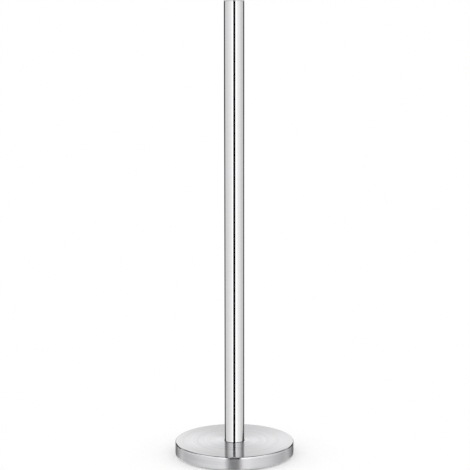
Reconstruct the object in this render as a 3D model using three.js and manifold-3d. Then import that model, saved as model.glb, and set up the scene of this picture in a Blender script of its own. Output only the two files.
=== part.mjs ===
// A freestanding holder for spare toilet rolls: a brushed stainless pole on a round weighted base.
// Rolls are dropped over the pole and stack up on the base. Nothing on it moves.
// Millimetres, +Z up. The origin is on the floor, in the middle of the base.

import * as THREE from 'three';
import { mergeVertices, toCreasedNormals } from 'three/addons/utils/BufferGeometryUtils.js';
import Module from 'manifold-3d';

const wasm = await Module();
wasm.setup();

// Sizes that a tape measure gives on the finished object
const overallHeight = 455;
const baseDiameter = 120;
const rimHeight = 13;
const poleDiameter = 20;

// Base cover: drawn from sheet, with its lower edge hemmed in under the weight
const coverSheet = 0.8;
const rimInnerBend = 0.5;
const hemInnerBend = 0.3;
const hemWidth = 3.5;
const coverHoleClearance = 0.5;

// Anti-slip pad: a die-cut ring of foam rubber, glued to the weight inside the hem
const padThickness = 2;
const padEdgeGap = 1;
const padHoleMargin = 5;

// Base weight: a turned disc that fills the cover
const weightEdgeGap = 0.3;
const weightChamfer = 1.2;
const socketDepth = 1.6;
const socketClearance = 0.2;
const socketLeadIn = 0.4;
const counterboreClearance = 1.5;
const counterboreChamfer = 0.5;

// Pole: a welded and brushed tube, a turned cap on top and a threaded slug in the foot
const tubeWall = 1;
const capFlange = 1.2;
const capEdgeChamfer = 0.3;
const spigotLength = 8;
const spigotLeadIn = 0.8;
const spigotClearance = 0.1;
const insertLength = 16;
const insertSetback = 0.3;
const insertClearance = 0.05;
const insertChamfer = 0.6;
const glueGrooveCount = 2;
const glueGrooveWidth = 1.6;
const glueGrooveDepth = 0.5;

// Clamp screw: a button head with a hexagon socket, and its two washers
const screwDiameter = 6;
const screwLength = 20;
const screwTipChamfer = 0.8;
const screwRecess = 1.2;
const headOverhang = 2.25;
const headHeight = 3.3;
const headLand = 0.5;
const keyWidth = 4;
const keyDepth = 2.1;
const keyLip = 0.6;
const threadClearance = 0.1;
const screwHoleClearance = 0.3;
const flatWasherThickness = 1.6;
const flatWasherWidth = 2.8;
const flatWasherClearance = 0.2;
const flatWasherChamfer = 0.3;
const springWasherThickness = 1.6;
const springWasherWidth = 2.85;
const springWasherClearance = 0.05;
const springWasherSlit = 0.8;

// Hairline between faces that rest on each other, and how far a cutter runs past what it cuts
const seat = 0.05;
const overrun = 1;

// Facets round each kind of piece, steps along each rounded edge, and angles
const baseSides = 96;
const poleSides = 64;
const hardwareSides = 36;
const bendSteps = 4;
const domeSteps = 6;
const keySides = 6;
const quarterTurn = Math.PI / 2;
const slitLean = THREE.MathUtils.degToRad(20);
const crease = THREE.MathUtils.degToRad(25);

// Radii of what fits round or inside something else
const baseRadius = baseDiameter / 2;
const poleRadius = poleDiameter / 2;
const tubeBoreRadius = poleRadius - tubeWall;
const screwRadius = screwDiameter / 2;
const hemRadius = baseRadius - hemWidth;
const flatWasherHole = screwRadius + flatWasherClearance;
const flatWasherRadius = flatWasherHole + flatWasherWidth;
const counterboreRadius = flatWasherRadius + counterboreClearance;

// Heights above the floor, from the pad upwards
const hemUnderside = padThickness - coverSheet;
const coverTop = hemUnderside + rimHeight;
const weightUnderside = padThickness + seat;
const weightTop = coverTop - coverSheet - seat;
const poleFoot = weightTop - socketDepth + seat;

// Heights of the clamp: the screw's head stays clear of the floor, and the stack sits on it
const headSeat = screwRecess + headHeight;
const springWasherBottom = headSeat + seat;
const flatWasherBottom = springWasherBottom + springWasherThickness + seat;
const counterboreCeiling = flatWasherBottom + flatWasherThickness + seat;

const brushedTop = { color: '#cfcfcd', roughness: 0.34, metalness: 1 };
const brushedTube = { color: '#cbcbca', roughness: 0.3, metalness: 1 };
const turnedCap = { color: '#c9c9c8', roughness: 0.36, metalness: 1 };
const castWeight = { color: '#4a4a4c', roughness: 0.75, metalness: 0.8 };
const foamRubber = { color: '#1c1c1d', roughness: 0.95, metalness: 0 };
const turnedSteel = { color: '#9b9c9d', roughness: 0.45, metalness: 1 };
const platedSteel = { color: '#b9bcc0', roughness: 0.28, metalness: 1 };

// The points of an arc that rounds a corner, tangent to both of its sides.
function arcAt(corner, before, after, rounding) {
  const back = before.clone().sub(corner).normalize();
  const ahead = after.clone().sub(corner).normalize();
  const halfAngle = Math.acos(back.dot(ahead)) / 2;
  const toCentre = rounding / Math.sin(halfAngle);
  const centre = back.clone().add(ahead).setLength(toCentre).add(corner);
  const start = back.clone().multiplyScalar(rounding / Math.tan(halfAngle)).add(corner);
  const turn = Math.PI - 2 * halfAngle;
  const sweep = ahead.cross(back) > 0 ? turn : -turn;
  return Array.from({ length: bendSteps + 1 }, (_, step) =>
    start.clone().rotateAround(centre, (sweep * step) / bendSteps),
  );
}

// Revolves an outline about +Z. Its corners are [radius, height, rounding], the last one optional,
// and they run anticlockwise with the axis on the left. One that starts on the axis ends on it too,
// and any other closes on itself.
function revolve(corners, sides) {
  const spots = corners.map(([radius, height]) => new THREE.Vector2(radius, height));
  const outline = corners.flatMap(([, , rounding = 0], i) => {
    const before = spots.at(i - 1);
    const after = spots[(i + 1) % spots.length];
    return rounding > 0 ? arcAt(spots[i], before, after, rounding) : [spots[i]];
  });
  if (outline[0].x > 0) {
    outline.push(outline[0]);
  }
  return new THREE.LatheGeometry(outline, sides).rotateX(quarterTurn);
}

// What is left of a closed shape once a closed cutter is taken out of it.
function cut(shape, cutter) {
  const [whole, removed] = [shape, cutter].map((geometry) => {
    const bare = geometry.clone();
    bare.deleteAttribute('normal');
    bare.deleteAttribute('uv');
    const welded = mergeVertices(bare);
    const vertProperties = welded.getAttribute('position').array;
    const triVerts = Uint32Array.from(welded.index.array);
    return new wasm.Manifold(new wasm.Mesh({ numProp: 3, vertProperties, triVerts }));
  });
  const { vertProperties, triVerts } = whole.subtract(removed).getMesh();
  const left = new THREE.BufferGeometry();
  left.setAttribute('position', new THREE.BufferAttribute(vertProperties, 3));
  left.setIndex(new THREE.BufferAttribute(triVerts, 1));
  return left;
}

// A named mesh that stands at a height above the floor, with a material of its own.
function piece(name, geometry, finish, height) {
  const mesh = new THREE.Mesh(toCreasedNormals(geometry, crease), new THREE.MeshStandardMaterial(finish));
  mesh.name = name;
  mesh.position.z = height;
  return mesh;
}

// A flat ring with square edges, standing on its own underside.
function ring(innerRadius, outerRadius, thickness, sides) {
  const corners = [
    [innerRadius, 0],
    [outerRadius, 0],
    [outerRadius, thickness],
    [innerRadius, thickness],
  ];
  return revolve(corners, sides);
}

// One sheet of metal all the way: flat top, bend, rim, bend and hem, outside and then inside.
function baseCover() {
  const holeRadius = poleRadius + coverHoleClearance;
  const insideRadius = baseRadius - coverSheet;
  const insideTop = rimHeight - coverSheet;
  const corners = [
    [hemRadius, 0],
    [baseRadius, 0, hemInnerBend + coverSheet],
    [baseRadius, rimHeight, rimInnerBend + coverSheet],
    [holeRadius, rimHeight],
    [holeRadius, insideTop],
    [insideRadius, insideTop, rimInnerBend],
    [insideRadius, coverSheet, hemInnerBend],
    [hemRadius, coverSheet],
  ];
  return piece('base_cover', revolve(corners, baseSides), brushedTop, hemUnderside);
}

// A disc with a socket for the pole on top, a counterbore for the screw below, and a hole between.
function baseWeight() {
  const outerRadius = baseRadius - coverSheet - weightEdgeGap;
  const socketRadius = poleRadius + socketClearance;
  const holeRadius = screwRadius + screwHoleClearance;
  const top = weightTop - weightUnderside;
  const socketFloor = top - socketDepth;
  const ceiling = counterboreCeiling - weightUnderside;
  const corners = [
    [counterboreRadius + counterboreChamfer, 0],
    [outerRadius - weightChamfer, 0],
    [outerRadius, weightChamfer],
    [outerRadius, top - weightChamfer],
    [outerRadius - weightChamfer, top],
    [socketRadius + socketLeadIn, top],
    [socketRadius, top - socketLeadIn],
    [socketRadius, socketFloor],
    [holeRadius, socketFloor],
    [holeRadius, ceiling],
    [counterboreRadius, ceiling],
    [counterboreRadius, counterboreChamfer],
  ];
  return piece('base_weight', revolve(corners, baseSides), castWeight, weightUnderside);
}

// The ring of foam rubber that the holder stands on. Its hole leaves the screw within reach.
function antiSlipPad() {
  const holeRadius = counterboreRadius + padHoleMargin;
  const outerRadius = hemRadius - padEdgeGap;
  return piece('anti_slip_pad', ring(holeRadius, outerRadius, padThickness, baseSides), foamRubber, 0);
}

// The plain tube, from the floor of the weight's socket to the underside of the cap.
function poleTube() {
  const length = overallHeight - capFlange - seat - poleFoot;
  return piece('pole_tube', ring(tubeBoreRadius, poleRadius, length, poleSides), brushedTube, poleFoot);
}

// A turned plug: a flange flush with the tube, over a spigot with a tapered lead-in.
function poleTopCap() {
  const spigotRadius = tubeBoreRadius - spigotClearance;
  const top = spigotLength + capFlange;
  const corners = [
    [0, 0],
    [spigotRadius - spigotLeadIn, 0],
    [spigotRadius, 2 * spigotLeadIn],
    [spigotRadius, spigotLength],
    [poleRadius, spigotLength],
    [poleRadius, top - capEdgeChamfer],
    [poleRadius - capEdgeChamfer, top],
    [0, top],
  ];
  return piece('pole_top_cap', revolve(corners, poleSides), turnedCap, overallHeight - top);
}

// A threaded slug in the tube's foot, with grooves that hold its adhesive. It is set back a little,
// so that the clamp pulls the tube's own end down onto the weight.
function poleThreadInsert() {
  const outerRadius = tubeBoreRadius - insertClearance;
  const grooveRadius = outerRadius - glueGrooveDepth;
  const boreRadius = screwRadius + threadClearance;
  const mouthRadius = boreRadius + insertChamfer;
  const groovePitch = insertLength / (glueGrooveCount + 1);
  const grooves = Array.from({ length: glueGrooveCount }, (_, i) => {
    const bottom = groovePitch * (i + 1) - glueGrooveWidth / 2;
    const top = bottom + glueGrooveWidth;
    return [
      [outerRadius, bottom],
      [grooveRadius, bottom],
      [grooveRadius, top],
      [outerRadius, top],
    ];
  });
  const corners = [
    [mouthRadius, 0],
    [outerRadius - insertChamfer, 0],
    [outerRadius, insertChamfer],
    ...grooves.flat(),
    [outerRadius, insertLength - insertChamfer],
    [outerRadius - insertChamfer, insertLength],
    [mouthRadius, insertLength],
    [boreRadius, insertLength - insertChamfer],
    [boreRadius, insertChamfer],
  ];
  const shape = revolve(corners, hardwareSides);
  return piece('pole_thread_insert', shape, turnedSteel, poleFoot + insertSetback);
}

// A button-head screw, head down. The head's underside is part of a ball centred on the axis, from
// the flat round the key's socket out to the head's rim.
function clampScrew() {
  const headRadius = screwRadius + headOverhang;
  const flatRadius = keyWidth / Math.sqrt(3) + keyLip;
  const domeHeight = headHeight - headLand;
  const drop = (headRadius ** 2 - flatRadius ** 2 + domeHeight ** 2) / (2 * domeHeight);
  const ballRadius = Math.hypot(flatRadius, drop);
  const flatAngle = Math.asin(flatRadius / ballRadius);
  const rimAngle = Math.asin(headRadius / ballRadius);
  const dome = Array.from({ length: domeSteps + 1 }, (_, step) => {
    const angle = THREE.MathUtils.lerp(flatAngle, rimAngle, step / domeSteps);
    return [ballRadius * Math.sin(angle), drop - ballRadius * Math.cos(angle)];
  });
  const tip = headHeight + screwLength;
  const corners = [
    [0, 0],
    ...dome,
    [headRadius, headHeight],
    [screwRadius, headHeight],
    [screwRadius, tip - screwTipChamfer],
    [screwRadius - screwTipChamfer, tip],
    [0, tip],
  ];
  const keyRadius = keyWidth / Math.sqrt(3);
  const keyHeight = keyDepth + overrun;
  const key = new THREE.CylinderGeometry(keyRadius, keyRadius, keyHeight, keySides);
  key.rotateX(quarterTurn).translate(0, 0, keyDepth - keyHeight / 2);
  return piece('clamp_screw', cut(revolve(corners, hardwareSides), key), platedSteel, screwRecess);
}

// A lock washer pressed flat, with the leaning slit that parts its two ends.
function springWasher() {
  const holeRadius = screwRadius + springWasherClearance;
  const outerRadius = holeRadius + springWasherWidth;
  const whole = ring(holeRadius, outerRadius, springWasherThickness, hardwareSides);
  const reach = springWasherWidth + 2 * overrun;
  const slit = new THREE.BoxGeometry(reach, springWasherSlit, springWasherThickness + 2 * overrun);
  slit.rotateX(slitLean).translate(holeRadius + springWasherWidth / 2, 0, springWasherThickness / 2);
  return piece('spring_washer', cut(whole, slit), platedSteel, springWasherBottom);
}

// A punched and chamfered washer, its flat side up against the weight.
function flatWasher() {
  const corners = [
    [flatWasherHole, 0],
    [flatWasherRadius - flatWasherChamfer, 0],
    [flatWasherRadius, flatWasherChamfer],
    [flatWasherRadius, flatWasherThickness],
    [flatWasherHole, flatWasherThickness],
  ];
  return piece('flat_washer', revolve(corners, hardwareSides), platedSteel, flatWasherBottom);
}

const base = new THREE.Group();
base.add(baseCover(), baseWeight(), antiSlipPad());

const pole = new THREE.Group();
pole.add(poleTube(), poleTopCap(), poleThreadInsert());

const clamp = new THREE.Group();
clamp.add(clampScrew(), springWasher(), flatWasher());

const holder = new THREE.Group();
holder.add(base, pole, clamp);

export default holder;
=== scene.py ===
import math

import bpy
from mathutils import Matrix, Vector


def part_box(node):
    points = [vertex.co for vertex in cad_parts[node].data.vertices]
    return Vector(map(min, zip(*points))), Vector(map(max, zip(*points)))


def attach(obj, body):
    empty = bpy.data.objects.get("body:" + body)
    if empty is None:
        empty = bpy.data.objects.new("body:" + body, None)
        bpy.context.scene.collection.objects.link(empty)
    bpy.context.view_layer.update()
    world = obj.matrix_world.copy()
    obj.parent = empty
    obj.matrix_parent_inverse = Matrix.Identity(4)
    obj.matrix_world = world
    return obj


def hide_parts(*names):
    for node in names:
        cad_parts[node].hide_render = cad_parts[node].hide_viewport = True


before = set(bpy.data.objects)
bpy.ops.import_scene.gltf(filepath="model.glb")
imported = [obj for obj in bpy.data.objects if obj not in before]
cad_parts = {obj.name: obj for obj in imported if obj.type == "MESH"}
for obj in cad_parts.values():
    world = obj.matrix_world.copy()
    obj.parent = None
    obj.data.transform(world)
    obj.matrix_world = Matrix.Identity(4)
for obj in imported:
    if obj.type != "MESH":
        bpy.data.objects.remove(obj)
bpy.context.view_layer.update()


# Camera: a metre and a half in front of the pole, as high as its top and tipped down a little, so
# that the pole's top just touches the frame's upper edge and the base its lower one.
frame_pixels = 470
focal_pixels = 1500
sensor_width = 36
camera_spot = (0.00072, -1.4729, 0.4504)
camera_tip = math.radians(8.719)
camera_roll = math.radians(-0.054)

camera_data = bpy.data.cameras.new("camera")
camera_data.sensor_width = sensor_width
camera_data.lens = sensor_width * focal_pixels / frame_pixels
camera = bpy.data.objects.new("camera", camera_data)
bpy.context.scene.collection.objects.link(camera)
camera.matrix_world = (
    Matrix.Translation(camera_spot)
    @ Matrix.Rotation(math.pi / 2 - camera_tip, 4, "X")
    @ Matrix.Rotation(camera_roll, 4, "Z")
)
bpy.context.scene.camera = camera
bpy.context.scene.view_settings.view_transform = "Standard"


# Studio: a white tent, which lights everything evenly and is the background. Polished metal sees
# what stands in it: the dark slot that the picture is taken through, bright walls beside the slot,
# bright cloth under a dark roof, a grey floor, and black flags behind that draw the pole's edges.
class Wire:
    """A socket of a node tree. Sums with it add Math nodes, and node() adds any other node."""

    def __init__(self, tree, socket=None):
        self.tree = tree
        self.socket = socket

    def node(self, kind, settings=None, inputs=None, output=0):
        """Adds a node and gives one of its outputs, if it has any."""
        made = self.tree.nodes.new("ShaderNode" + kind)
        for name, value in (settings or {}).items():
            if name == "stops":
                self.set_stops(made.color_ramp, value)
            else:
                setattr(made, name, value)
        self.feed(made, inputs or {})
        return Wire(self.tree, made.outputs[output]) if made.outputs else None

    def feed(self, node, inputs):
        """Links each wire to the node's socket of that name, and sets each plain value there."""
        for name, value in inputs.items():
            if isinstance(value, Wire):
                self.tree.links.new(value.socket, node.inputs[name])
            else:
                node.inputs[name].default_value = value

    def set_stops(self, ramp, stops):
        """Gives a colour ramp a grey for each stop, which is (position, level)."""
        while len(ramp.elements) > 1:
            ramp.elements.remove(ramp.elements[-1])
        ramp.elements[0].position = stops[0][0]
        for position, _ in stops[1:]:
            ramp.elements.new(position)
        for element, (_, level) in zip(ramp.elements, stops):
            element.color = (level, level, level, 1)

    def math(self, operation, first, second=0.0, third=0.0, clamp=False):
        settings = {"operation": operation, "use_clamp": clamp}
        return self.node("Math", settings, {0: first, 1: second, 2: third})

    def __add__(self, other):
        return self.math("ADD", self, other)

    def __radd__(self, other):
        return self.math("ADD", other, self)

    def __sub__(self, other):
        return self.math("SUBTRACT", self, other)

    def __rsub__(self, other):
        return self.math("SUBTRACT", other, self)

    def __mul__(self, other):
        return self.math("MULTIPLY", self, other)

    def __rmul__(self, other):
        return self.math("MULTIPLY", other, self)

    def __truediv__(self, other):
        return self.math("DIVIDE", self, other)

    def axis(self, letter):
        """The X, Y or Z of a vector."""
        return self.node("SeparateXYZ", inputs={"Vector": self}, output=letter)

    def above(self, low, soft):
        """1 over low and 0 under it, with an edge that is soft wide on each side."""
        return self.math("MULTIPLY_ADD", self - low, 0.5 / soft, 0.5, clamp=True)

    def below(self, high, soft):
        """1 under high and 0 over it, with the same edge."""
        return self.math("MULTIPLY_ADD", high - self, 0.5 / soft, 0.5, clamp=True)

    def between(self, low, high, soft):
        return self.above(low, soft) * self.below(high, soft)

    def graded(self, stops):
        """A level that runs straight from stop to stop. Each stop is (value, level)."""
        start, end = stops[0][0], stops[-1][0]
        peak = max(level for _, level in stops)
        shares = [((value - start) / (end - start), level / peak) for value, level in stops]
        share = (self - start) / (end - start)
        return self.node("ValToRGB", {"stops": shares}, {"Fac": share}) * peak


def covered(seen, level, where):
    """What is seen once something of the given level hangs where the last wire is 1."""
    return seen + (level - seen) * where


# Turn is in degrees round the pole, from 0 towards the camera to 90 on the picture's right, and
# rise in degrees up from level. The stops give the level seen at a turn or a rise, and those of
# the upper walls a share of it, at so many degrees off the camera. Soft is an edge's width.
wall_stops = [
    (-180, 0.75),
    (-165, 0.78),
    (-150, 0.92),
    (-128, 0.72),
    (-112, 0.76),
    (-97, 0.86),
    (-80, 0.86),
    (-67, 0.95),
    (-55, 1.00),
    (-43, 1.06),
    (-30, 1.10),
    (-23, 1.38),
    (0, 1.48),
    (27, 1.42),
    (37, 1.16),
    (50, 1.08),
    (63, 1.04),
    (76, 0.90),
    (91, 0.79),
    (112, 0.76),
    (128, 0.70),
    (150, 0.90),
    (165, 0.78),
    (180, 0.75),
]
upper_start = 8
upper_soft = 6
upper_stops = [
    (0, 0.74),
    (30, 0.74),
    (50, 0.73),
    (65, 0.68),
    (85, 0.60),
    (95, 0.51),
    (108, 0.27),
    (118, 0.14),
    (124, 0.30),
    (135, 0.85),
    (142, 1.00),
    (180, 1.00),
]
floor_edge = -17.3
floor_soft = 0.5
floor_stops = [
    (-180, 0.35),
    (-163, 0.45),
    (-152, 1.70),
    (-135, 1.90),
    (-121, 0.55),
    (-97, 0.86),
    (-60, 0.84),
    (0, 0.98),
    (60, 0.74),
    (97, 0.80),
    (121, 0.55),
    (135, 1.50),
    (152, 1.50),
    (163, 0.45),
    (180, 0.35),
]
nadir_edge = -62
nadir_soft = 8
nadir_level = 0.80
roof_edge = 32
roof_soft = 3
roof_stops = [(0, 0.72), (24, 0.72), (33, 0.66), (37, 0.08), (90, 0.03)]
cloth_half_width = 94
cloth_side_soft = 20
cloth_bottom = 30
cloth_top = 58
cloth_soft = 3
cloth_level = 1.70
band_start = 140
band_side_soft = 15
band_bottom = 12
band_top = 22
band_soft = 7
band_level = 1.09
flag_start = 124
flag_end = 158
flag_side_soft = 2
flag_bottom = -18.2
flag_top = 19
flag_soft = 1
flag_level = 0.03
splay_top = -16.12
splay_height = 0.4
splay_left = 8
splay_right = 26
ledge_start = 150
ledge_end = 167
ledge_bottom = -5
ledge_top = 4
slot_turn = 3.2
slot_half_width = 11.9
slot_side_soft = 0.4
slot_bottom = -34
slot_top = 44
slot_soft = 2
slot_lean_start = -18
slot_lean_end = 16
slot_lean_down = 0.31
slot_lean_up = 0.42
slot_widening_down = 0.06
slot_widening_up = 0.20

world = bpy.data.worlds.new("studio")
world.use_nodes = True
world.node_tree.nodes.clear()
bpy.context.scene.world = world
studio = Wire(world.node_tree)
direction = studio.node("TexCoord", output="Generated")
turn = studio.math("DEGREES", studio.math("ARCTAN2", direction.axis("X"), 0 - direction.axis("Y")))
turned_off = studio.math("ABSOLUTE", turn)
rise = studio.math("DEGREES", studio.math("ARCSINE", direction.axis("Z")))

seen = turn.graded(wall_stops)
seen = covered(seen, seen * turned_off.graded(upper_stops), rise.above(upper_start, upper_soft))
seen = covered(seen, turn.graded(floor_stops), rise.below(floor_edge, floor_soft))
seen = covered(seen, nadir_level, rise.below(nadir_edge, nadir_soft))
seen = covered(seen, rise.graded(roof_stops), rise.above(roof_edge, roof_soft))

cloth = turned_off.below(cloth_half_width, cloth_side_soft)
cloth = cloth * rise.between(cloth_bottom, cloth_top, cloth_soft)
seen = covered(seen, cloth_level, cloth)
band = turned_off.above(band_start, band_side_soft) * rise.between(band_bottom, band_top, band_soft)
seen = covered(seen, band_level, band)

on_right = studio.math("GREATER_THAN", turn, 0.0)
splay_width = splay_left + (splay_right - splay_left) * on_right
splay = splay_width * studio.math("DIVIDE", splay_top - rise, splay_height, clamp=True)
flags = turned_off.between(flag_start - splay, flag_end, flag_side_soft)
flags = flags * rise.between(flag_bottom, flag_top, flag_soft)
ledge = turned_off.between(ledge_start, ledge_end, flag_side_soft)
ledge = ledge * rise.between(ledge_bottom, ledge_top, flag_soft)
seen = covered(seen, flag_level, studio.math("MAXIMUM", flags, ledge))

downward = studio.node("Clamp", inputs={"Value": rise, "Min": slot_lean_start, "Max": 0})
upward = studio.node("Clamp", inputs={"Value": rise, "Min": 0, "Max": slot_lean_end})
slot_middle = slot_turn + slot_lean_down * downward - slot_lean_up * upward
slot_half = slot_half_width - slot_widening_down * downward + slot_widening_up * upward
slot = (turn - slot_middle).between(0 - slot_half, slot_half, slot_side_soft)
seen = covered(seen, 0, slot * rise.between(slot_bottom, slot_top, slot_soft))

glossy = studio.node("LightPath", output="Is Glossy Ray")
light = {"Color": (1, 1, 1, 1), "Strength": covered(1, seen, glossy)}
studio.node("OutputWorld", inputs={"Surface": studio.node("Background", inputs=light)})


# Floor: smooth white board. It takes the shade where the base stands on it, and further out it
# runs into the white of the background. Metal looks through it to the studio.
floor_size = 3.0
floor_drop = 0.00005
floor_colour = (0.99, 0.99, 0.99, 1)
fade_start = 0.052
fade_end = 0.115

floor_mesh = bpy.data.meshes.new("floor")
half = floor_size / 2
floor_corners = [(-half, -half, 0), (half, -half, 0), (half, half, 0), (-half, half, 0)]
floor_mesh.from_pydata(floor_corners, [], [(0, 1, 2, 3)])
floor = bpy.data.objects.new("floor", floor_mesh)
bpy.context.scene.collection.objects.link(floor)
floor.location.z = -floor_drop
floor.visible_glossy = False

board = bpy.data.materials.new("white_board")
board.use_nodes = True
board.node_tree.nodes.clear()
paint = Wire(board.node_tree)
spot = paint.node("TexCoord", output="Object")
reach = paint.node("VectorMath", {"operation": "LENGTH"}, {0: spot}, output="Value")
fade = paint.math("DIVIDE", reach - fade_start, fade_end - fade_start, clamp=True)
matt = paint.node("BsdfDiffuse", inputs={"Color": floor_colour})
glow = paint.node("Emission", inputs={"Color": (1, 1, 1, 1), "Strength": 1.0})
blend = paint.node("MixShader", inputs={0: fade, 1: matt, 2: glow})
paint.node("OutputMaterial", inputs={"Surface": blend})
floor_mesh.materials.append(board)


# Base weight: a turned disc of grey iron that fills the cover and keeps the stand upright. It has
# a socket for the pole's foot on top and a counterbore for the screw's head below.
def rounded(corners, steps=10):
    """The points of an outline whose corners are (radius, height) or (radius, height, rounding).
    A point just before and after each arc lets the flats beside it shade as flats."""
    points = []
    for index, (radius, height, *rounding) in enumerate(corners):
        corner = Vector((radius, height))
        if not rounding:
            points.append(tuple(corner))
            continue
        back = (Vector(corners[index - 1][:2]) - corner).normalized()
        ahead = (Vector(corners[(index + 1) % len(corners)][:2]) - corner).normalized()
        half_angle = back.angle(ahead) / 2
        centre = corner + (back + ahead).normalized() * rounding[0] / math.sin(half_angle)
        tangent = rounding[0] / math.tan(half_angle)
        start = corner + back * tangent - centre
        sweep = math.copysign(math.pi - 2 * half_angle, ahead.cross(back))
        arc = [Matrix.Rotation(sweep * step / steps, 2) @ start + centre for step in range(steps + 1)]
        lead = rounding[0] / steps
        points.append(tuple(arc[0] + back * lead))
        points.extend(tuple(point) for point in arc)
        points.append(tuple(arc[-1] + ahead * lead))
    return points


def turned(name, outline, sides):
    """A mesh revolved about +Z. The outline runs anticlockwise, with the axis on its left, and
    either starts and ends on the axis or closes on itself. A point is (radius, height), or
    (radius, height, form) where form(radius, height, angle) gives the radius all the way round."""
    spots, rings = [], []
    for radius, height, *form in outline:
        if radius == 0:
            rings.append([len(spots)] * sides)
            spots.append((0, 0, height))
            continue
        ring = []
        for side in range(sides):
            angle = 2 * math.pi * side / sides
            reach = form[0](radius, height, angle) if form else radius
            ring.append(len(spots))
            spots.append((reach * math.cos(angle), reach * math.sin(angle), height))
        rings.append(ring)
    if outline[0][0] > 0:
        rings.append(rings[0])
    faces = []
    for low, high in zip(rings, rings[1:]):
        for side in range(sides):
            after = (side + 1) % sides
            face = dict.fromkeys((low[side], low[after], high[after], high[side]))
            if len(face) > 2:
                faces.append(tuple(face))
    mesh = bpy.data.meshes.new(name)
    mesh.from_pydata(spots, [], faces)
    return mesh


smooth_angle = math.radians(28)


def fitted(name, mesh, material, node, mirrored=True):
    """Puts a finished piece in the place of its node, on the one body of the holder. One that
    isn't mirrored leaves the polished metal above it to mirror the studio alone."""
    mesh.polygons.foreach_set("use_smooth", [True] * len(mesh.polygons))
    mesh.set_sharp_from_angle(angle=smooth_angle)
    mesh.materials.append(material)
    made = bpy.data.objects.new(name, mesh)
    bpy.context.scene.collection.objects.link(made)
    made.visible_glossy = mirrored
    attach(made, "root")
    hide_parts(node)


def finish_of(name):
    """A new material, its Principled shader, and a wire of the place on the piece."""
    material = bpy.data.materials.new(name)
    material.use_nodes = True
    shader = material.node_tree.nodes["Principled BSDF"]
    place = Wire(material.node_tree).node("TexCoord", output="Object")
    return material, shader, place


def round_grain(place, pitch, arcs):
    """Noise drawn out into rings round the axis: pitch metres from ring to ring, across a flat and
    up a wall alike, and about arcs marks in one turn."""
    never_zero = 1e-9
    x, y, z = (place.axis(letter) for letter in "XYZ")
    radius = place.math("SQRT", x * x + y * y + never_zero)
    # In the noise a turn is a circle about arcs long, so its radius is a sixth of that.
    loop = arcs / 6
    lane = {"X": (radius - z) / pitch, "Y": x / radius * loop, "Z": y / radius * loop}
    noise = {"Vector": place.node("CombineXYZ", inputs=lane), "Scale": 1.0, "Detail": 3.0, "Roughness": 0.6}
    return place.node("TexNoise", inputs=noise, output="Fac")


def shaded(factor, dark, light):
    """A colour that is dark where factor is 0 and light where it is 1."""
    colours = {"Factor": factor, "A": dark, "B": light}
    return factor.node("Mix", {"data_type": "RGBA"}, colours, output="Result")


def bumped(height, depth):
    """The normal of a surface that stands depth metres higher where height is 1."""
    return height.node("Bump", inputs={"Strength": 1.0, "Distance": depth, "Height": height})


def grey_iron():
    material, shader, place = finish_of("grey_iron")
    cuts = round_grain(place, pitch=0.0009, arcs=3)
    grain = place.node("TexNoise", inputs={"Vector": place, "Scale": 900.0, "Detail": 4.0}, output="Fac")
    worn = cuts * 0.55 + grain * 0.45
    place.feed(
        shader,
        {
            "Metallic": 0.85,
            "Base Color": shaded(worn, (0.10, 0.10, 0.105, 1), (0.34, 0.34, 0.35, 1)),
            "Roughness": 0.38 + grain * 0.3,
            "Normal": bumped(worn, depth=0.00005),
        },
    )
    return material


low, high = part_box("base_weight")
tube_low, tube_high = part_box("pole_tube")
screw_low, screw_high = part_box("clamp_screw")
washer_low, washer_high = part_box("flat_washer")
seat_gap = 0.00005
weight_radius = high.x
weight_chamfer = 0.0012
weight_edge = 0.0002
socket_room = 0.0002
socket_mouth = 0.0004
socket_radius = tube_high.x + socket_room
socket_floor = tube_low.z - seat_gap
counterbore_room = 0.0015
counterbore_mouth = 0.0005
counterbore_radius = washer_high.x + counterbore_room
counterbore_ceiling = washer_high.z + seat_gap
screw_hole_radius = 0.0033
weight_outline = rounded(
    [
        (counterbore_radius + counterbore_mouth, low.z),
        (weight_radius - weight_chamfer, low.z, weight_edge),
        (weight_radius, low.z + weight_chamfer, weight_edge),
        (weight_radius, high.z - weight_chamfer, weight_edge),
        (weight_radius - weight_chamfer, high.z, weight_edge),
        (socket_radius + socket_mouth, high.z),
        (socket_radius, high.z - socket_mouth),
        (socket_radius, socket_floor),
        (screw_hole_radius, socket_floor),
        (screw_hole_radius, counterbore_ceiling),
        (counterbore_radius, counterbore_ceiling),
        (counterbore_radius, low.z + counterbore_mouth),
    ],
    steps=4,
)
weight = turned("ballast_disc", weight_outline, sides=192)
fitted("ballast_disc", weight, grey_iron(), "base_weight", mirrored=False)


# Base cover: a dish drawn from 0.8 mm stainless sheet, brushed in rings on its flat top and along
# its rim, with the lower edge rolled in under the weight so that the two hold together.
fine_arcs = 9
fine_share = 0.3
broad_times = 4
broad_arcs = 4
broad_share = 0.4
wide_times = 14
wide_arcs = 3
wide_share = 0.3
grain_gain = 1.5
quarter_turn = 0.25
# Near-black of the painted shade in the gap where the pole goes through the cover, and the width of its
# edge.
foot_shade_colour = (0.02, 0.02, 0.02, 1)
foot_shade_soft = 0.00003


def toned(colour, times):
    return (*(min(level * times, 1.0) for level in colour), 1)


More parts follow.
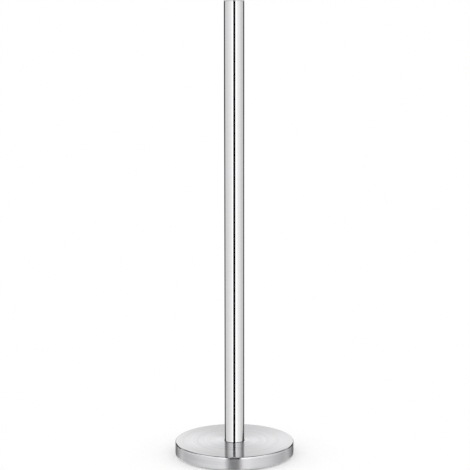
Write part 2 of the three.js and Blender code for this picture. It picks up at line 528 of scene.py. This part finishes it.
def brushed_steel(
    name, box, colour, contrast, rough_stops, spread, anisotropy, pitch, depth, painted_shade_below=None
):
    """Satin stainless steel with its grain round the axis, so that light spreads far across the
    marks and little along them. rough_stops give the roughness at shares of the box's height, and
    spread how much it varies with the marks. Under the given height the colour is painted
    near-black: a painted shade for the gap where the metal passes through another part."""
    low, high = box
    material, shader, place = finish_of(name)
    height = place.axis("Z")
    rough = ((height - low.z) / (high.z - low.z)).graded(rough_stops)
    fine = round_grain(place, pitch, fine_arcs)
    broad = round_grain(place, pitch * broad_times, broad_arcs)
    wide = round_grain(place, pitch * wide_times, wide_arcs)
    grain = fine * fine_share + broad * broad_share + wide * wide_share
    marks = 0.5 + (grain - 0.5) * grain_gain
    metal = shaded(marks, toned(colour, 1 - contrast), toned(colour, 1 + contrast))
    # Painted shade: under the given height the metal's colour turns near-black, in place of the shade in
    # that gap.
    if painted_shade_below is not None:
        metal = shaded(height.above(painted_shade_below, foot_shade_soft), foot_shade_colour, metal)
    place.feed(
        shader,
        {
            "Metallic": 1.0,
            "Anisotropic": anisotropy,
            "Anisotropic Rotation": quarter_turn,
            "Base Color": metal,
            "Roughness": rough + (marks - 0.5) * spread,
            "Normal": bumped(fine, depth),
        },
    )
    return material


low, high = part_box("base_cover")
cover_radius = high.x
cover_top = high.z
cover_sheet = 0.0008
cover_room = 0.0005
cover_hole = tube_high.x + cover_room
rim_inner_bend = 0.0005
hem_inner_bend = 0.0003
hem_width = 0.0035
hem_radius = cover_radius - hem_width
cut_edge = 0.0001
inside_radius = cover_radius - cover_sheet
cover_outline = rounded(
    [
        (hem_radius, low.z, cut_edge),
        (cover_radius, low.z, hem_inner_bend + cover_sheet),
        (cover_radius, high.z, rim_inner_bend + cover_sheet),
        (cover_hole, high.z, cut_edge),
        (cover_hole, high.z - cover_sheet),
        (inside_radius, high.z - cover_sheet, rim_inner_bend),
        (inside_radius, low.z + cover_sheet, hem_inner_bend),
        (hem_radius, low.z + cover_sheet),
    ]
)
cover_steel = brushed_steel(
    "brushed_cover_steel",
    box=(low, high),
    colour=(0.740, 0.740, 0.755),
    contrast=0.28,
    rough_stops=[(0, 0.375), (0.83, 0.375), (0.88, 0.12), (0.999, 0.12), (1, 0.17)],
    spread=0.06,
    anisotropy=1.0,
    pitch=0.00035,
    depth=0.000004,
)
cover = turned("brushed_cover", cover_outline, sides=384)
fitted("brushed_cover", cover, cover_steel, "base_cover", mirrored=False)


# Anti-slip pad: a ring of black foam rubber, die-cut and glued to the weight inside the hem. The
# holder stands on it, so its cut edge bulges a little.
def foam_rubber():
    material, shader, place = finish_of("foam_rubber")
    cells = place.node("TexVoronoi", inputs={"Vector": place, "Scale": 1400.0}, output="Distance")
    skin = place.node("TexNoise", inputs={"Vector": place, "Scale": 260.0, "Detail": 4.0}, output="Fac")
    place.feed(
        shader,
        {
            "Metallic": 0.0,
            "Base Color": shaded(skin, (0.012, 0.012, 0.013, 1), (0.035, 0.035, 0.037, 1)),
            "Roughness": 0.78 + skin * 0.18,
            "Normal": bumped(cells * 0.7 + skin * 0.3, depth=0.00012),
        },
    )
    return material


low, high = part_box("anti_slip_pad")
pad_set_back = 0.005
pad_hole = counterbore_radius + pad_set_back
pad_bulge = 0.00035
pad_outline = rounded(
    [
        (pad_hole, low.z, pad_bulge),
        (high.x, low.z, pad_bulge),
        (high.x, high.z, pad_bulge),
        (pad_hole, high.z, pad_bulge),
    ],
    steps=5,
)
pad = turned("foam_ring", pad_outline, sides=192)
fitted("foam_ring", pad, foam_rubber(), "anti_slip_pad", mirrored=False)


# Pole: stainless tube, ground and brushed round, so that its grain runs round it and a reflection
# stays sharp from side to side. Its foot stands in the weight. Where it goes through the cover, a
# fine near-black line is painted on it: painted shade for the gap there.
low, high = tube_low, tube_high
tube_wall = 0.001
tube_bore = high.x - tube_wall
tube_edge = 0.00008
# How far the painted shade line reaches above the cover's top.
foot_shade_height = 0.0003
pole_outline = rounded(
    [
        (tube_bore, low.z),
        (high.x, low.z, tube_edge),
        (high.x, high.z, tube_edge),
        (tube_bore, high.z),
    ],
    steps=4,
)
pole_steel = brushed_steel(
    "brushed_pole_steel",
    box=(low, high),
    colour=(0.748, 0.748, 0.758),
    contrast=0.05,
    rough_stops=[(0, 0.055), (1, 0.055)],
    spread=0.02,
    anisotropy=0.5,
    pitch=0.00030,
    depth=0.0000002,
    painted_shade_below=cover_top + foot_shade_height,
)
pole = turned("brushed_pole", pole_outline, sides=256)
fitted("brushed_pole", pole, pole_steel, "pole_tube")


# Cap: a turned stainless plug pressed into the top of the tube. Its flange covers the tube's end,
# as wide as the tube, and is faced flat with a broken edge.
low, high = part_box("pole_top_cap")
spigot_room = 0.0001
spigot_radius = tube_bore - spigot_room
spigot_taper = 0.0008
spigot_taper_height = 0.0016
spigot_edge = 0.0002
cap_flange = high.z - tube_high.z - seat_gap
cap_bevel = 0.0003
cap_edge = 0.0001
cap_outline = rounded(
    [
        (0, low.z),
        (spigot_radius - spigot_taper, low.z, spigot_edge),
        (spigot_radius, low.z + spigot_taper_height, spigot_edge),
        (spigot_radius, high.z - cap_flange),
        (high.x, high.z - cap_flange, tube_edge),
        (high.x, high.z - cap_bevel, cap_edge),
        (high.x - cap_bevel, high.z, cap_edge),
        (0, high.z),
    ],
    steps=4,
)
cap_steel = brushed_steel(
    "turned_cap_steel",
    box=(low, high),
    colour=(0.748, 0.748, 0.758),
    contrast=0.05,
    rough_stops=[(0, 0.11), (0.985, 0.11), (1, 0.34)],
    spread=0.04,
    anisotropy=0.6,
    pitch=0.00025,
    depth=0.000004,
)
cap = turned("turned_cap", cap_outline, sides=256)
fitted("turned_cap", cap, cap_steel, "pole_top_cap")


# Thread insert: a slug turned from plain steel bar, with two grooves for adhesive and a thread for
# the clamp screw. It is fixed inside the tube's foot, a little back from the tube's end.
thread_pitch = 0.001
thread_depth = 0.0006
thread_flank = 2.4
thread_room = 0.0001
rows_per_pitch = 8


def threaded(radius, height, angle):
    """The radius of a screw thread whose crests are at radius."""
    share = (height / thread_pitch - angle / (2 * math.pi)) % 1
    return radius - thread_depth * min(1.0, thread_flank * min(share, 1 - share))


def plain_steel():
    material, shader, place = finish_of("turned_plain_steel")
    cuts = round_grain(place, pitch=0.0004, arcs=6)
    film = place.node("TexNoise", inputs={"Vector": place, "Scale": 120.0, "Detail": 3.0}, output="Fac")
    place.feed(
        shader,
        {
            "Metallic": 1.0,
            "Base Color": shaded(cuts * 0.5 + film * 0.5, (0.42, 0.42, 0.43, 1), (0.60, 0.60, 0.61, 1)),
            "Roughness": 0.30 + film * 0.22,
            "Normal": bumped(cuts, depth=0.00002),
        },
    )
    return material


low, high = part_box("pole_thread_insert")
screw_radius = 0.003
bore_crest = screw_radius + thread_room
groove_depth = 0.0005
groove_half = 0.0008
slug_chamfer = 0.0006
slug_height = high.z - low.z
thread_length = slug_height - 2 * slug_chamfer
slug_outline = [
    (bore_crest + slug_chamfer, low.z),
    (high.x - slug_chamfer, low.z),
    (high.x, low.z + slug_chamfer),
]
for groove in (1, 2):
    middle = low.z + slug_height * groove / 3
    slug_outline += [
        (high.x, middle - groove_half),
        (high.x - groove_depth, middle - groove_half),
        (high.x - groove_depth, middle + groove_half),
        (high.x, middle + groove_half),
    ]
slug_outline += [
    (high.x, high.z - slug_chamfer),
    (high.x - slug_chamfer, high.z),
    (bore_crest + slug_chamfer, high.z),
]
thread_rows = rows_per_pitch * round(thread_length / thread_pitch)
for row in range(thread_rows + 1):
    height = high.z - slug_chamfer - thread_length * row / thread_rows
    slug_outline.append((bore_crest, height, threaded))
slug = turned("threaded_slug", slug_outline, sides=72)
fitted("threaded_slug", slug, plain_steel(), "pole_thread_insert")


# Clamp screw: a button head with a hexagon socket, zinc-plated. It goes up through the weight and
# pulls the pole down onto it.
def zinc_plated():
    material, shader, place = finish_of("zinc_plate")
    cloud = place.node("TexNoise", inputs={"Vector": place, "Scale": 420.0, "Detail": 5.0}, output="Fac")
    grain = place.node("TexNoise", inputs={"Vector": place, "Scale": 3200.0, "Detail": 2.0}, output="Fac")
    place.feed(
        shader,
        {
            "Metallic": 1.0,
            "Base Color": shaded(cloud, (0.56, 0.59, 0.63, 1), (0.74, 0.76, 0.78, 1)),
            "Roughness": 0.20 + cloud * 0.18,
            "Normal": bumped(grain, depth=0.000008),
        },
    )
    return material


def hexagonal(radius, height, angle):
    """The radius of a hexagon whose corners are at radius."""
    sixth = math.pi / 3
    from_flat = angle % sixth - sixth / 2
    return radius * math.cos(sixth / 2) / math.cos(from_flat)


head_height = 0.0033
head_radius = screw_high.x
head_land = 0.0005
head_ring = 0.0006
head_seat = screw_low.z + head_height
neck_step = 0.0001
tip_chamfer = 0.0002
key_half_width = 0.002
key_radius = key_half_width / math.cos(math.pi / 6)
key_depth = 0.0021
key_bevel = 0.00015
key_cone = 0.0006
key_cone_share = 0.8
dome_steps = 14
dome_flat = key_radius + head_ring
dome_height = head_height - head_land
dome_drop = (head_radius**2 - dome_flat**2 + dome_height**2) / (2 * dome_height)
ball_radius = math.hypot(dome_flat, dome_drop)
flat_angle = math.asin(dome_flat / ball_radius)
rim_angle = math.asin(head_radius / ball_radius)
screw_outline = [
    (0, screw_low.z + key_depth + key_cone),
    (key_radius * key_cone_share, screw_low.z + key_depth),
    (key_radius, screw_low.z + key_depth, hexagonal),
    (key_radius, screw_low.z + key_bevel, hexagonal),
    (key_radius + key_bevel, screw_low.z),
]
for step in range(dome_steps + 1):
    angle = flat_angle + (rim_angle - flat_angle) * step / dome_steps
    height = screw_low.z + dome_drop - ball_radius * math.cos(angle)
    screw_outline.append((ball_radius * math.sin(angle), height))
screw_outline += [(head_radius, head_seat), (screw_radius + neck_step, head_seat)]
screw_length = screw_high.z - head_seat
thread_rows = rows_per_pitch * round(screw_length / thread_pitch)
for row in range(1, thread_rows):
    height = head_seat + screw_length * row / thread_rows
    screw_outline.append((screw_radius, height, threaded))
screw_outline += [(screw_radius - thread_depth - tip_chamfer, screw_high.z), (0, screw_high.z)]
screw = turned("button_screw", screw_outline, sides=72)
plated = zinc_plated()
fitted("button_screw", screw, plated, "clamp_screw")


# Lock washer: square spring wire wound into one turn, zinc-plated and pressed flat by the screw.
# The slit between its ends leans, so that they grip when the screw starts to turn back.
low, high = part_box("spring_washer")
spring_room = 0.00005
spring_hole = screw_radius + spring_room
spring_steps = 96
slit_half = 0.0004
slit_lean = math.tan(math.radians(20))
spring_edge = 0.00012
spring_section = rounded(
    [
        (spring_hole, low.z, spring_edge),
        (high.x, low.z, spring_edge),
        (high.x, high.z, spring_edge),
        (spring_hole, high.z, spring_edge),
    ],
    steps=3,
)
spots, faces = [], []
for step in range(spring_steps + 1):
    for radius, height in spring_section:
        slit_angle = slit_half / radius
        lean_angle = (height - (low.z + high.z) / 2) * slit_lean / radius
        angle = lean_angle + slit_angle + (2 * math.pi - 2 * slit_angle) * step / spring_steps
        spots.append((radius * math.cos(angle), radius * math.sin(angle), height))
count = len(spring_section)
for step in range(spring_steps):
    for corner in range(count):
        after = (corner + 1) % count
        near, far = step * count, (step + 1) * count
        faces.append((near + corner, far + corner, far + after, near + after))
faces.append(tuple(range(count)))
faces.append(tuple(reversed(range(spring_steps * count, (spring_steps + 1) * count))))
spring = bpy.data.meshes.new("lock_washer")
spring.from_pydata(spots, [], faces)
fitted("lock_washer", spring, plated, "spring_washer")


# Plain washer: punched from plated sheet, so one edge is rolled over and the other is square. Its
# square side is against the weight.
low, high = washer_low, washer_high
washer_hole = 0.0032
punched_edge = 0.0001
square_edge = 0.00005
rolled_edge = 0.0003
rolled_round = 0.0002
washer_outline = rounded(
    [
        (washer_hole, low.z, punched_edge),
        (high.x - rolled_edge, low.z, rolled_round),
        (high.x, low.z + rolled_edge, rolled_round),
        (high.x, high.z, square_edge),
        (washer_hole, high.z, punched_edge),
    ],
    steps=4,
)
washer = turned("plain_washer", washer_outline, sides=96)
fitted("plain_washer", washer, plated, "flat_washer")
